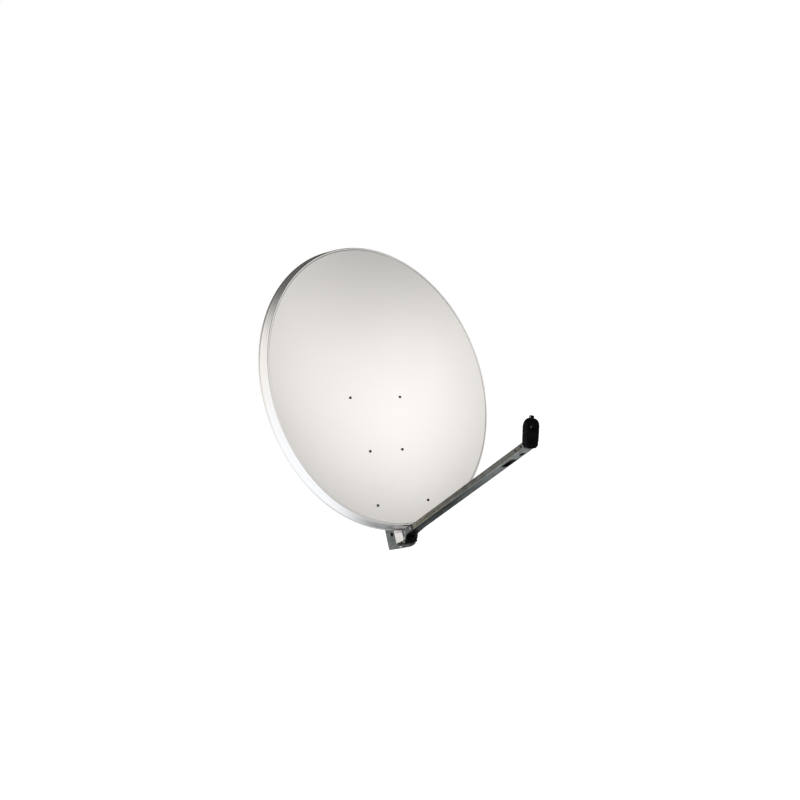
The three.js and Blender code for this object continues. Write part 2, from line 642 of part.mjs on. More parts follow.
// ---------- mast bracket ----------
const pivot = { y: -PIVOT_TO_MAST, z: PIVOT_HEIGHT };
const lock = { y: pivot.y, z: pivot.z - SLOT_RADIUS };
const plateFront = pivot.y + BASE_PLATE.behindPivot;
const plateRear = plateFront + BASE_PLATE.thickness;
const CHEEK = { wall: 3, top: 62, bottom: -60, pivotEye: 17, lockEye: 13 };
const clampPlaces = [['upper', 1], ['lower', -1]].flatMap(([level, up]) =>
  [['left', -1], ['right', 1]].map(([side, across]) => ({
    name: `${level}_${side}`, x: across * CLAMP_HALF_SPAN, z: up * CLAMP_HEIGHT })));

function mastBracket() {
  const plate = facePlate(
    outline(roundedBox(BASE_PLATE.halfWidth, BASE_PLATE.halfHeight, 8, 3)), plateFront, plateRear);
  const cheek = outline([
    [plateFront + 1, CHEEK.top], [plateFront + 1, CHEEK.bottom], [plateFront - 18, CHEEK.bottom + 6],
    ...arc(lock.y, lock.z, CHEEK.lockEye, 270, 170, 5),
    ...arc(pivot.y, pivot.z, CHEEK.pivotEye, 190, 80, 7),
    [plateFront - 22, CHEEK.top - 12]].reverse());
  const left = sidePlate(cheek, -HALF_SPINE, CHEEK.wall - HALF_SPINE);
  const right = sidePlate(cheek, HALF_SPINE - CHEEK.wall, HALF_SPINE);
  return cut(join(plate, left, right),
    crossHole(M8.hole, pivot),
    crossHole(M8.hole, lock),
    ...clampPlaces.map(({ x, z }) => bar('y', plateFront - 5, plateRear + 5, M8.hole, { x, z })));
}
add(dish, 'mast_bracket', mastBracket(), looks.galvanised);
crossBolt(dish, 'elevation_pivot_bolt', 'elevation_pivot_nut', M8, plateOutside, pivot);
crossBolt(dish, 'elevation_lock_bolt', 'elevation_lock_nut', M8, plateOutside, lock);

// Spacer on the pivot bolt between the cheeks
const SLEEVE_RADIUS = 7;
const sleeveHalf = HALF_SPINE - CHEEK.wall - GAP;
const sleeve = outline(
  circle(pivot.y, pivot.z, SLEEVE_RADIUS, 16), circle(pivot.y, pivot.z, M8.hole, 16));
add(dish, 'pivot_sleeve', sidePlate(sleeve, -sleeveHalf, sleeveHalf), looks.zincPlated);

// ---------- mast clamp jaws ----------
const JAW_HALF_WIDTH = 60;
const FLANGE_HALF_WIDTH = 38;
const V_TIP = 27;                              // half width of the V at its mouth
const TEETH = 4;
const TOOTH_PITCH = V_TIP / (TEETH + 0.6);     // across the jaw
const TOOTH_DEPTH = 2;

// Toothed edge of one V, from the tip at +x to the tip at -x; the crests touch the mast's tangents
function toothedV(apex) {
  const inwards = TOOTH_DEPTH / Math.SQRT2;
  const side = [[V_TIP, apex + V_TIP]];
  for (let i = 1; i <= TEETH; i += 1) {
    const crest = V_TIP - i * TOOTH_PITCH;
    const root = crest + TOOTH_PITCH / 2;
    side.push([root + inwards, apex + root - inwards], [crest, apex + crest]);
  }
  return [...side, [4, apex - 1], [-4, apex - 1], ...side.map(([x, y]) => [-x, y]).reverse()];
}

// A jaw for a mast on the origin's axis, in front of it (-Y)
function jawGeometry(halfHeight) {
  const apex = -MAST_RADIUS * Math.SQRT2;
  const webFront = plateRear + GAP;
  const webBack = webFront + JAW_THICKNESS;
  const flange = outline([
    [-FLANGE_HALF_WIDTH, webFront + 1], [FLANGE_HALF_WIDTH, webFront + 1],
    [FLANGE_HALF_WIDTH, apex + 20], [V_TIP + 2, apex + V_TIP],
    ...toothedV(apex), [-V_TIP - 2, apex + V_TIP], [-FLANGE_HALF_WIDTH, apex + 20]]);
  const web = box(-JAW_HALF_WIDTH, JAW_HALF_WIDTH, webFront, webBack, -halfHeight, halfHeight);
  const top = extrude(flange, JAW_THICKNESS).translate(0, 0, halfHeight - JAW_THICKNESS);
  const low = extrude(flange, JAW_THICKNESS).translate(0, 0, -halfHeight);
  const holes = [-1, 1].map((sign) =>
    bar('y', webFront - 5, webBack + 5, M8.hole, { x: sign * CLAMP_HALF_SPAN }));
  return cut(join(web, top, low), ...holes);
}

for (const [level, up] of [['upper', 1], ['lower', -1]]) {
  const z = up * CLAMP_HEIGHT;
  add(dish, `front_jaw_${level}`, jawGeometry(FRONT_JAW_HALF_HEIGHT).translate(0, 0, z), looks.galvanised);
  const rear = jawGeometry(REAR_JAW_HALF_HEIGHT).rotateZ(Math.PI).translate(0, 0, z);
  add(dish, `rear_jaw_${level}`, rear, looks.galvanised);
}

const rearWeb = -plateRear - GAP;
for (const { name, x, z } of clampPlaces) {
  const start = plateFront - GAP;
  const alongY = new THREE.Vector3(0, 1, 0);
  aim(add(dish, `clamp_bolt_${name}`, hexBolt(M8, CLAMP_BOLT_END - start), looks.zincPlated),
    new THREE.Vector3(x, start, z), alongY);
  aim(add(dish, `clamp_nut_${name}`, hexNut(M8), looks.zincPlated),
    new THREE.Vector3(x, rearWeb + GAP, z), alongY);
}

export default dish;
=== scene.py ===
# An offset satellite dish on its mast bracket: its surfaces, its small details and the studio round it.
# The world is in metres, with +Z up the mast and the dish facing -Y. Shapes are drawn in four frames of
# the assembly, which are in millimetres.
import json
import math
import random

import bmesh
import bpy
from mathutils import Matrix, Vector


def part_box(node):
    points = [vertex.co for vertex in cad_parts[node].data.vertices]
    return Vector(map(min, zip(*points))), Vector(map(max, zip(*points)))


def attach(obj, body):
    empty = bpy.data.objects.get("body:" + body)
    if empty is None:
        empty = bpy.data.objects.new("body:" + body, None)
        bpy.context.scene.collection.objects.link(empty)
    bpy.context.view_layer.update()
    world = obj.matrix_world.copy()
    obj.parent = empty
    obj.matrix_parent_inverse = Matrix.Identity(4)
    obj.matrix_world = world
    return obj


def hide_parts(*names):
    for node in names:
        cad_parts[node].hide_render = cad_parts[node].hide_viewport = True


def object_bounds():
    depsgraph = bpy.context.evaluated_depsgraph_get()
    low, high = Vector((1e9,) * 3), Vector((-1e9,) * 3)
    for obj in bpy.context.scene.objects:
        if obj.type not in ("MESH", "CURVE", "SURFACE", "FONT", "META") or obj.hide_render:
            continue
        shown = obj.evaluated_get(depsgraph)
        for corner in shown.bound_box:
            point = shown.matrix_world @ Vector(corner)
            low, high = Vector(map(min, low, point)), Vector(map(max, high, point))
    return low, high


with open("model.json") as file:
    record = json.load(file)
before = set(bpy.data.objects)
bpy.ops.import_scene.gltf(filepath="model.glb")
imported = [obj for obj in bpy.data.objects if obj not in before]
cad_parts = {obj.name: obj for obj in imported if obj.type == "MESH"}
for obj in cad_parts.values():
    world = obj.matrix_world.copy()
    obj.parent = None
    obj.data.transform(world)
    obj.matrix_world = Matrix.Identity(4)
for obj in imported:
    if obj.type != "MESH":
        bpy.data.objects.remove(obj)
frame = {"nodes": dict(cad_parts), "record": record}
cad_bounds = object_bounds()
nodes = frame["nodes"]
behaviour = frame["record"]["behaviour"]
node_slot = {part["node"]: part["material_slot"] for part in frame["record"]["subparts"]}
node_body = {node: body for body, names in behaviour["bodies"].items() for node in names}
scene = bpy.context.scene
rng = random.Random(7)

# ---------- camera ----------
CAMERA_AT = Vector((-1.9309, -2.7833, 0.2256))
CAMERA_TARGET = Vector((0.0490, -0.2533, 0.1490))
CAMERA_LENS = 38.77
CAMERA_SENSOR = 36


def add_camera():
    data = bpy.data.cameras.new("camera")
    data.lens = CAMERA_LENS
    data.sensor_width = CAMERA_SENSOR
    camera = bpy.data.objects.new("camera", data)
    camera.location = CAMERA_AT
    camera.rotation_euler = (CAMERA_TARGET - CAMERA_AT).to_track_quat("-Z", "Y").to_euler()
    scene.collection.objects.link(camera)
    return camera


scene.camera = add_camera()
scene.view_settings.view_transform = "Standard"

# ---------- frames of the assembly, in millimetres ----------
MM = 0.001
LEAN_BACK = math.radians(15.9)       # of the rim plane
SPINE_LEAN = math.radians(4.0)       # of the spine against the rim plane
ARM_RISE = math.radians(15.13)       # of the arm against the rim plane's normal
RING_TILT = math.radians(19.3)       # of the LNB ring's axis against the same normal
OFFSET_ANGLE = math.radians(21.63)   # between the rim plane's normal and the paraboloid's axis
FOCAL_LENGTH = 650
HALF_HEIGHT = 525.0
HALF_WIDTH = HALF_HEIGHT * math.cos(OFFSET_ANGLE)
SHEET = 1.0
FOLD_PIVOT = Vector((0, 44, -592))   # in the rim's frame, as are the next two
SPINE_FOOT = (0, 66.5, -595)
RING_CENTRE = (0, -665, -327.5)
ARM_DROP = 26.0                      # from the rim's lowest point to the arm's centreline
LEFT, RIGHT = (-1, 0, 0), (1, 0, 0)
BACK = (0, 1, 0)
DOWN, UP = (0, 0, -1), (0, 0, 1)


def turned(angle, place):
    """A frame at a place, turned about X."""
    return Matrix.Translation(Vector(place)) @ Matrix.Rotation(angle, 4, "X")


def at(place, *offset):
    return place @ Matrix.Translation(Vector(offset))


def direction(place, *axis):
    """An axis of a frame as a direction in the world."""
    return (place.to_3x3() @ Vector(axis)).normalized()


fold_joint = next(joint for joint in behaviour["joints"] if joint["name"] == "arm_fold")
rim_turn = Matrix.Rotation(-LEAN_BACK, 4, "X")
rim_centre = Vector(fold_joint["pos_m"]) - rim_turn @ (FOLD_PIVOT * MM)
arm_root = (0, -ARM_DROP * math.sin(ARM_RISE), -HALF_HEIGHT - ARM_DROP * math.cos(ARM_RISE))
RIM = Matrix.Translation(rim_centre) @ rim_turn @ Matrix.Scale(MM, 4)
SPINE = RIM @ turned(-SPINE_LEAN, SPINE_FOOT)
ARM = RIM @ turned(-ARM_RISE, arm_root)
RING = RIM @ turned(RING_TILT, RING_CENTRE)

# ---------- node trees ----------
MIX_SHARE = 0                        # a Mix node's sockets by number
MIX_COLOURS = (6, 7, 2)              # its A, B and result for colours
MIX_VECTORS = (4, 5, 1)              # and for vectors


class Tree:
    """A node tree, built one node at a time."""

    def __init__(self, tree):
        self.tree = tree

    def add(self, kind, **values):
        """A new node. Each value is a property of it, or else one of its inputs' constant values."""
        node = self.tree.nodes.new(kind)
        for key, value in values.items():
            if hasattr(node, key) and key not in node.inputs:
                setattr(node, key, value)
            else:
                node.inputs[key].default_value = value
        return node

    def feed(self, socket, value):
        """Links a socket to another node's output, or sets its constant value."""
        if isinstance(value, bpy.types.NodeSocket):
            self.tree.links.new(value, socket)
        else:
            socket.default_value = value

    def facing(self, source, towards):
        """The cosine between a direction and a fixed one."""
        node = self.add("ShaderNodeVectorMath", operation="DOT_PRODUCT")
        self.feed(node.inputs[0], source)
        self.feed(node.inputs[1], towards)
        return node.outputs["Value"]


class Surface(Tree):
    """A material's nodes. Textures lie on the object's own coordinates."""

    def __init__(self, name):
        self.material = bpy.data.materials.new(name)
        self.material.use_nodes = True
        super().__init__(self.material.node_tree)
        self.shader = self.tree.nodes["Principled BSDF"]
        coordinates = self.add("ShaderNodeTexCoord")
        self.place = coordinates.outputs["Object"]
        self.normal = coordinates.outputs["Normal"]

    def noise(self, scale, detail=3.0, output="Fac"):
        node = self.add("ShaderNodeTexNoise", Scale=scale, Detail=detail)
        self.feed(node.inputs["Vector"], self.place)
        return node.outputs[output]

    def along(self, axis):
        """The place along one of the object's axes, in metres."""
        node = self.add("ShaderNodeSeparateXYZ")
        self.feed(node.inputs["Vector"], self.place)
        return node.outputs[axis]

    def ramp(self, source, low, high, ends=(0.3, 0.7)):
        node = self.add("ShaderNodeValToRGB")
        first, last = node.color_ramp.elements
        first.position, last.position = ends
        first.color = (*low, 1)
        last.color = (*high, 1)
        self.feed(node.inputs["Fac"], source)
        return node.outputs["Color"]

    def spread(self, source, low, high):
        """Maps 0 to 1 onto low to high."""
        node = self.add("ShaderNodeMapRange", **{"To Min": low, "To Max": high})
        self.feed(node.inputs["Value"], source)
        return node.outputs["Result"]

    def share(self, source, first, last):
        """Maps first to last onto 0 to 1."""
        node = self.add("ShaderNodeMapRange", **{"From Min": first, "From Max": last})
        self.feed(node.inputs["Value"], source)
        return node.outputs["Result"]

    def mix(self, share, first, second, blend="MIX"):
        node = self.add("ShaderNodeMix", data_type="RGBA", blend_type=blend)
        a, b, result = MIX_COLOURS
        self.feed(node.inputs[MIX_SHARE], share)
        self.feed(node.inputs[a], first)
        self.feed(node.inputs[b], second)
        return node.outputs[result]

    def shade(self, tones):
        """Multiplies the base colour by other tones."""
        base = self.shader.inputs["Base Color"]
        self.feed(base, self.mix(1.0, base.links[0].from_socket, tones, blend="MULTIPLY"))

    def bump(self, height, strength, distance):
        node = self.add("ShaderNodeBump", Strength=strength, Distance=distance)
        self.feed(node.inputs["Height"], height)
        self.feed(self.shader.inputs["Normal"], node.outputs["Normal"])

    def set(self, **sockets):
        for key, value in sockets.items():
            self.feed(self.shader.inputs[key.replace("_", " ")], value)


# ---------- materials ----------
WHITE = (1.0, 1.0, 1.0)
WHOLE_RANGE = (0.0, 1.0)
BORDER_WAVE = 0.012                  # share of noise that bends the borders of the zinc's grains
# Darker copies of the zinc's greys: painted shade on the spine's foot, the arm's tray and its shoe
FOOT_SHADE_GREYS = ((0.110, 0.119, 0.112), (0.155, 0.165, 0.156))


def enamel():
    look = Surface("reflector_paint")
    look.set(
        Base_Color=look.ramp(look.noise(3.0, detail=2.0), (0.865, 0.848, 0.826), (0.885, 0.870, 0.850)),
        Roughness=look.spread(look.noise(38.0), 0.27, 0.30),
        Metallic=0.85)
    look.bump(look.noise(120.0, detail=1.0), 0.004, 0.0002)
    return look.material


def enamel_behind():
    """The paint on the reflector's back, thinner and duller."""
    look = Surface("reflector_paint_behind")
    look.set(
        Base_Color=look.ramp(look.noise(4.0), (0.66, 0.655, 0.64), (0.73, 0.725, 0.71)),
        Roughness=look.spread(look.noise(30.0), 0.46, 0.56),
        Metallic=0.3)
    look.bump(look.noise(120.0, detail=1.0), 0.01, 0.0002)
    return look.material


def galvanised(name, low, high):
    """Hot-dip zinc: spangled grains with wavy borders, over a slow drift in tone."""
    look = Surface(name)
    a, b, result = MIX_VECTORS
    waved = look.add("ShaderNodeMix", data_type="VECTOR")
    look.feed(waved.inputs[MIX_SHARE], BORDER_WAVE)
    look.feed(waved.inputs[a], look.place)
    look.feed(waved.inputs[b], look.noise(60.0, detail=2.0, output="Color"))
    cells = look.add("ShaderNodeTexVoronoi", Scale=95.0)
    look.feed(cells.inputs["Vector"], waved.outputs[result])
    spangle = look.add("ShaderNodeSeparateColor")
    look.feed(spangle.inputs["Color"], cells.outputs["Color"])
    look.set(
        Base_Color=look.ramp(spangle.outputs["Red"], low, high, ends=(0.1, 0.9)),
        Roughness=look.spread(spangle.outputs["Green"], 0.34, 0.52),
        Metallic=0.92)
    look.shade(look.ramp(look.noise(9.0), (0.78, 0.77, 0.75), WHITE))
    look.bump(look.noise(420.0), 0.08, 0.0003)
    return look


def arm_steel_painted_light():
    """The arm's zinc with painted light: its sides are lighter near its root, a painted reflection, and its
    underside is darker near its root and lighter near its tip, painted shade and painted reflection.
    """
    look = galvanised("arm_steel_painted_light", (0.135, 0.132, 0.117), (0.178, 0.174, 0.155))
    along = look.along("Y")
    # Painted reflection on the sides near the root; painted shade under the root and painted reflection
    # under the tip
    sides = look.ramp(look.share(along, -0.46, -0.68), (1.75, 1.68, 1.5), WHITE, ends=WHOLE_RANGE)
    underside_painted_light = look.ramp(
        look.share(along, -0.60, -0.86), (0.24, 0.26, 0.26), (2.9, 3.1, 3.4), ends=WHOLE_RANGE)
    downwards = look.share(look.facing(look.normal, direction(ARM, *DOWN)), 0.5, 0.8)
    look.shade(look.mix(downwards, sides, underside_painted_light))
    look.set(Specular_Tint=(0.48, 0.50, 0.51, 1))
    return look.material


def spine_steel_painted_shade():
    """The spine's zinc with painted shade: darker towards its foot."""
    look = galvanised("spine_steel_painted_shade", *FOOT_SHADE_GREYS)
    # Painted shade: plain zinc tone up high, darkened towards the foot
    tones = look.ramp(look.share(look.along("Z"), -0.28, -0.08), WHITE, (2.5, 2.42, 2.45), ends=WHOLE_RANGE)
    look.shade(tones)
    return look.material


def zinc(name, low, high):
    look = Surface(name)
    look.set(
        Base_Color=look.ramp(look.noise(160.0), low, high),
        Roughness=look.spread(look.noise(420.0), 0.22, 0.38),
        Metallic=1.0)
    look.bump(look.noise(1500.0), 0.05, 0.0002)
    return look.material


def dark_zinc():
    look = Surface("dark_screws")
    look.set(
        Base_Color=look.ramp(look.noise(220.0), (0.030, 0.030, 0.029), (0.060, 0.060, 0.058)),
        Roughness=look.spread(look.noise(500.0), 0.25, 0.4),
        Metallic=0.9)
    return look.material


def black_plastic():
    look = Surface("black_plastic")
    look.set(
        Base_Color=look.ramp(look.noise(60.0), (0.0020, 0.0020, 0.0022), (0.0040, 0.0040, 0.0044)),
        Roughness=look.spread(look.noise(240.0), 0.36, 0.50),
        Metallic=0.0,
        Specular_IOR_Level=0.05)
    look.bump(look.noise(2200.0, detail=1.0), 0.12, 0.0002)
    return look.material


def black_rubber():
    look = Surface("black_rubber")
    look.set(
        Base_Color=look.ramp(look.noise(90.0), (0.0030, 0.0030, 0.0032), (0.0060, 0.0060, 0.0062)),
        Roughness=look.spread(look.noise(240.0), 0.7, 0.8),
        Metallic=0.0,
        Specular_IOR_Level=0.0)
    return look.material


def weld_metal():
    look = Surface("weld_metal")
    look.set(
        Base_Color=look.ramp(look.noise(300.0), (0.20, 0.19, 0.175), (0.36, 0.35, 0.33)),
        Roughness=look.spread(look.noise(500.0), 0.35, 0.6),
        Metallic=0.9)
    look.bump(look.noise(900.0), 0.3, 0.0005)
    return look.material


def label_painted_glow():
    look = Surface("label_painted_glow")
    look.set(
        Base_Color=look.ramp(look.noise(120.0), (0.90, 0.86, 0.84), (0.95, 0.92, 0.90)),
        Roughness=look.spread(look.noise(300.0), 0.4, 0.5),
        # The paper glows though it is no lamp: painted light for the sheen on the web
        Emission_Color=(1.0, 0.93, 0.90, 1),
        Emission_Strength=0.42)
    return look.material


def bar_ink():
    look = Surface("label_ink")
    look.set(
        Base_Color=look.ramp(look.noise(200.0), (0.30, 0.29, 0.28), (0.38, 0.37, 0.36)),
        Roughness=look.spread(look.noise(300.0), 0.5, 0.6))
    return look.material


def floor_paint():
    look = Surface("studio_floor")
    look.set(
        Base_Color=look.ramp(look.noise(2.0), (0.86, 0.86, 0.86), (0.88, 0.88, 0.88)),
        Roughness=0.9,
        Emission_Color=(*WHITE, 1),
        Emission_Strength=0.8)
    return look.material


FINISHES = {                         # by material slot
    "reflector_paint": enamel(),
    "galvanised_steel": galvanised("galvanised_steel", (0.30, 0.31, 0.305), (0.40, 0.412, 0.402)).material,
    "zinc_fixings": zinc("zinc_fixings", (0.24, 0.24, 0.235), (0.34, 0.34, 0.33)),
    "dark_screws": dark_zinc(),
    "black_plastic": black_plastic(),
}
# The tray and the shoe wear this darker zinc: painted shade round the foot of the spine
FOOT_SHADED_STEEL = galvanised("foot_steel_painted_shade", *FOOT_SHADE_GREYS).material
BRIGHT_ZINC = zinc("bright_zinc", (0.70, 0.70, 0.69), (0.82, 0.82, 0.81))
WELD = weld_metal()
RUBBER = black_rubber()
OWN_FINISH = {                       # nodes that don't wear their slot's finish
    # The arm wears painted light, and the spine, the tray and the shoe wear painted shade
    "arm_tube": arm_steel_painted_light(),
    "spine_channel": spine_steel_painted_shade(),
    "arm_tray": FOOT_SHADED_STEEL,
    "arm_shoe": FOOT_SHADED_STEEL,
    "fold_bolt": FINISHES["dark_screws"],
}


# ---------- pieces ----------
def new_piece(name, build, body, finish, replaces=(), smooth_angle=40.0):
    """A mesh made by build(bm), riding on a body, in place of the nodes that it replaces."""
    mesh = bpy.data.meshes.new(name)
    bm = bmesh.new()
    build(bm)
    bmesh.ops.recalc_face_normals(bm, faces=bm.faces)
    bm.to_mesh(mesh)
    bm.free()
    piece = bpy.data.objects.new(name, mesh)
    scene.collection.objects.link(piece)
    mesh.materials.append(finish)
    for face in mesh.polygons:
        face.use_smooth = True
    mesh.set_sharp_from_angle(angle=math.radians(smooth_angle))
    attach(piece, body)
    if replaces:
        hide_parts(*replaces)
    return piece


def sew(bm, first, second):
    """Quads between two loops of as many vertices."""
    for j in range(len(first)):
        k = (j + 1) % len(first)
        bm.faces.new((first[j], first[k], second[k], second[j]))


def brick(bm, place, low, high):
    """A closed box between two corners of a frame."""
    ends = [bm.verts.new(place @ Vector((x, y, z)))
            for x in (low[0], high[0]) for y in (low[1], high[1]) for z in (low[2], high[2])]
    for face in ((0, 1, 3, 2), (4, 6, 7, 5), (0, 4, 5, 1), (2, 3, 7, 6), (0, 2, 6, 4), (1, 5, 7, 3)):
        bm.faces.new([ends[i] for i in face])


def turned_shape(place, axis, profile, sides=32):
    """A closed lathe shape about an axis: the profile is a loop of (radius, along)."""
    axis = Vector(axis).normalized()
    side = axis.orthogonal().normalized()
    other = axis.cross(side)

    def build(bm):
        rings = []
        for radius, along in profile:
            if radius == 0:
                rings.append([bm.verts.new(place @ (axis * along))])
                continue
            rings.append([
                bm.verts.new(place @ (axis * along + radius * (side * math.cos(a) + other * math.sin(a))))
                for a in (2 * math.pi * j / sides for j in range(sides))])
        hollow = profile[0][0] != 0
        pairs = list(zip(rings, rings[1:])) + ([(rings[-1], rings[0])] if hollow else [])
        for first, second in pairs:
            for j in range(sides):
                k = (j + 1) % sides
                corners = [first[j % len(first)], first[k % len(first)],
                           second[k % len(second)], second[j % len(second)]]
                bm.faces.new(list(dict.fromkeys(corners)))

    return build


# ---------- reflector: outlines of the rolled rim as (out, back) from the bowl's edge ----------
RIM_OUTSIDE = [(0, 0), (2, -1.4), (5, -1.6), (8, 0.6), (9.2, 5), (9.4, 12), (8.4, 15), (9.6, 18),
               (11.5, 33), (14.5, 38), (18, 40.5), (18, 42.5)]
RIM_INSIDE = [(16.9, 41.8), (13.5, 39.1), (10.3, 33.3), (8.4, 18.4), (7.1, 15), (8.2, 12), (7.8, 4.8),
              (4.8, -0.1)]
OUTSIDE_STEPS = 3
INSIDE_STEPS = 2
SEGMENTS = 256
BOWL_RINGS = 30
BOWL_EDGE = 0.9965                   # the last ring before the rolled rim, as a share of the bowl
BOWL_EDGE_BEHIND = 0.998
BACK_FACING = 0.5                    # least cosine of a face that wears the thinner paint


def smooth_profile(points, steps):
    """A Catmull-Rom curve through a list of points, with so many steps between each two."""
    path = []
    last = len(points) - 1
    for i in range(last):
        a, b, c, d = (Vector(points[min(max(k, 0), last)]) for k in (i - 1, i, i + 1, i + 2))
        for k in range(steps):
            t = k / steps
            path.append(0.5 * (2 * b + (c - a) * t + (2 * a - 5 * b + 4 * c - d) * t ** 2
                               + (3 * b - a - 3 * c + d) * t ** 3))
    path.append(Vector(points[-1]))
    return path


def bowl_point(x, rim_z):
    """The paraboloid's point behind a place in the rim plane, found along the paraboloid's axis."""
    depth = (HALF_WIDTH ** 2 - x ** 2 - (rim_z * math.cos(OFFSET_ANGLE)) ** 2) / (4 * FOCAL_LENGTH)
    return Vector((x, depth * math.cos(OFFSET_ANGLE), rim_z - depth * math.sin(OFFSET_ANGLE)))


def reflector(bm):
    """The sheet's front from the middle out, round the rolled rim, and back in along its rear."""
    rings = []

    def ring(point_at):
        rings.append([bm.verts.new(RIM @ point_at(2 * math.pi * j / SEGMENTS)) for j in range(SEGMENTS)])

    def bowl_ring(share, back):
        ring(lambda a: bowl_point(share * HALF_WIDTH * math.cos(a), share * HALF_HEIGHT * math.sin(a))
             + Vector((0, back, 0)))

    def rim_ring(out, back):
        def point(a):
            across, up = math.cos(a), math.sin(a)
            outwards = Vector((across / HALF_WIDTH, up / HALF_HEIGHT)).normalized()
            x = HALF_WIDTH * across + out * outwards.x
            return Vector((x, back, HALF_HEIGHT * up + out * outwards.y))
        ring(point)

    for i in range(1, BOWL_RINGS):
        bowl_ring(i / BOWL_RINGS, 0)
    bowl_ring(BOWL_EDGE, 0)
    for out, back in smooth_profile(RIM_OUTSIDE, OUTSIDE_STEPS):
        rim_ring(out, back)
    for out, back in smooth_profile(RIM_INSIDE, INSIDE_STEPS):
        rim_ring(out, back)
    bowl_ring(BOWL_EDGE_BEHIND, SHEET)
    bowl_ring(BOWL_EDGE, SHEET)
    for i in range(BOWL_RINGS - 1, 0, -1):
        bowl_ring(i / BOWL_RINGS, SHEET)
    front = bm.verts.new(RIM @ bowl_point(0, 0))
    rear = bm.verts.new(RIM @ (bowl_point(0, 0) + Vector((0, SHEET, 0))))
    for j in range(SEGMENTS):
        k = (j + 1) % SEGMENTS
        bm.faces.new((front, rings[0][k], rings[0][j]))
        for inner, outer in zip(rings, rings[1:]):
            bm.faces.new((inner[j], inner[k], outer[k], outer[j]))
        bm.faces.new((rear, rings[-1][j], rings[-1][k]))


shell = new_piece("reflector_shell", reflector, "dish", FINISHES["reflector_paint"],
                  ["reflector"], smooth_angle=60)
shell.data.materials.append(enamel_behind())
backwards = direction(RIM, *BACK)
for face in shell.data.polygons:
    face.material_index = int(face.normal.dot(backwards) > BACK_FACING)

# ---------- steelwork, plastic and fixings: the same solids with rounded edges ----------
SMALL_EDGE = 0.3
EDGE = {
    "spine_channel": 0.7, "upper_crossbar": 0.5, "middle_crossbar": 0.5, "lower_crossbar": 0.5,
    "elevation_plate_left": 0.4, "elevation_plate_right": 0.4, "arm_tray": 0.4, "arm_shoe": 0.4,
    "arm_tube": 0.2, "mast_bracket": 0.5, "front_jaw_upper": 0.4, "front_jaw_lower": 0.4,
    "rear_jaw_upper": 0.4, "rear_jaw_lower": 0.4, "lnb_holder": 1.2, "latch_lever": 1.2,
}
SAME_POINT = 2e-5                    # metres
FLAT = math.radians(0.6)             # faces that meet at less than this are one face
ROUNDED_FROM = math.radians(28.0)    # edges that turn by more than this are rounded
EDGE_SEGMENTS = 2


def refined(node):
    """A copy of a node's mesh with its coplanar triangles merged and its edges rounded."""
    source = nodes[node].data

    def build(bm):
        bm.from_mesh(source)
        bmesh.ops.remove_doubles(bm, verts=bm.verts, dist=SAME_POINT)
        bmesh.ops.dissolve_limit(bm, angle_limit=FLAT, verts=bm.verts, edges=bm.edges)
        edges = [e for e in bm.edges if e.is_manifold and e.calc_face_angle(0) > ROUNDED_FROM]
        bmesh.ops.bevel(
            bm, geom=edges, offset=EDGE.get(node, SMALL_EDGE) * MM, segments=EDGE_SEGMENTS, profile=0.5,
            affect="EDGES", clamp_overlap=True, loop_slide=True)

    slot = node_slot[node]
    finish = OWN_FINISH.get(node, FINISHES[slot])
    new_piece(f"{node}_detail", build, node_body[node], finish, [node])


for node in node_body:
    if node != "reflector":
        refined(node)

# ---------- blank label on the front of the spine: a pale glowing sheet, painted reflection standing in for the steel's bright sheen ---
LABEL_HALF = 27.6
LABEL_BOTTOM, LABEL_TOP = 7.0, 56.0
LABEL_CORNER = 1.5
LABEL_CORNER_STEPS = 4
LABEL_BACK = -0.02                   # just off the steel
LABEL_FRONT = LABEL_BACK - 0.25
BAR_TOPS = (54.0, 50.4, 46.8)
BAR_HALF = 25.0
BAR_HEIGHT = 1.3
BAR_PROUD = 0.05                     # of the label's front
BAR_SUNK = 0.1


def rounded_outline(half, bottom, top, radius, steps):
    """A rounded rectangle's (x, z) points, centred on x = 0."""
    points = []
    for x, z, start in ((half - radius, top - radius, 0), (radius - half, top - radius, 90),
                        (radius - half, bottom + radius, 180), (half - radius, bottom + radius, 270)):
        for k in range(steps + 1):
            angle = math.radians(start + 90 * k / steps)
            points.append((x + radius * math.cos(angle), z + radius * math.sin(angle)))
    return points


def painted_sheen_label(bm):
    points = rounded_outline(LABEL_HALF, LABEL_BOTTOM, LABEL_TOP, LABEL_CORNER, LABEL_CORNER_STEPS)
    front, back = ([bm.verts.new(SPINE @ Vector((x, y, z))) for x, z in points]
                   for y in (LABEL_FRONT, LABEL_BACK))
    bm.faces.new(front)
    bm.faces.new(back[::-1])
    sew(bm, back, front)


def label_bars(bm):
    for top in BAR_TOPS:
        brick(bm, SPINE, (-BAR_HALF, LABEL_FRONT - BAR_PROUD, top - BAR_HEIGHT),
              (BAR_HALF, LABEL_FRONT + BAR_SUNK, top))


new_piece("painted_sheen_label", painted_sheen_label, "dish", label_painted_glow())
new_piece("rating_label_bars", label_bars, "dish", bar_ink())

